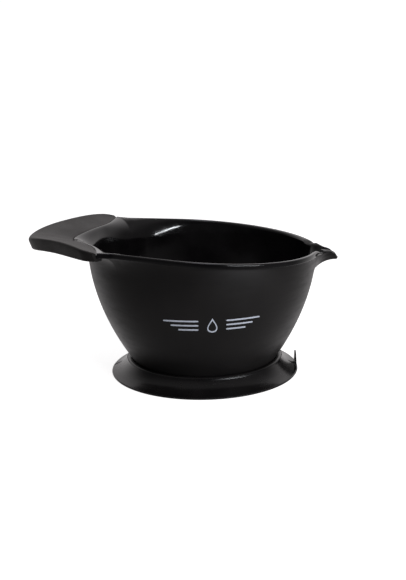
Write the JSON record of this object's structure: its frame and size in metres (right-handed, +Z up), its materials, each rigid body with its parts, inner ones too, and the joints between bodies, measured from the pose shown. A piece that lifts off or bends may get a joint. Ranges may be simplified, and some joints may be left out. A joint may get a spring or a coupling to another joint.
{
  "type": "hair color bowl",
  "caption": "Dark mixing bowl for hair colour with a pouring spout, a soft thumb grip and a removable rubber suction base with a release tab.",
  "frame": {"origin": "middle of the whole object's footprint, on the surface it stands on; the bowl's own axis stands at x = 10.2 mm", "axes": "+Z up along the bowl's axis, +X towards the spout, -X towards the handle's tip"},
  "size_m": [0.172, 0.129, 0.0829],
  "materials": {
    "bowl_plastic": "black moulded polypropylene, glossy inside and on the rim, satin outside",
    "grip_rubber": "warm dark grey soft-touch elastomer, matte",
    "base_rubber": "black soft rubber, satin",
    "tab_rubber": "black soft rubber, satin"
  },
  "bodies": {
    "suction_base": {"suction_cup": "base_rubber"},
    "bowl": {"bowl_shell": "bowl_plastic", "handle_grip": "grip_rubber"},
    "tab": {"release_tab": "tab_rubber"}
  },
  "joints": [
    {"name": "bowl_lift", "type": "slide", "parent": "suction_base", "child": "bowl", "axis": [0, 0, 1], "range_m": [0, 0.02]},
    {"name": "tab_flex", "type": "hinge", "parent": "suction_base", "child": "tab", "pos_m": [0.06205, -0.00363, 0.0019], "axis": [0.0698, 0.9976, 0], "range_deg": [-35, 75], "stiffness_Nm_per_rad": 0.002}
  ]
}
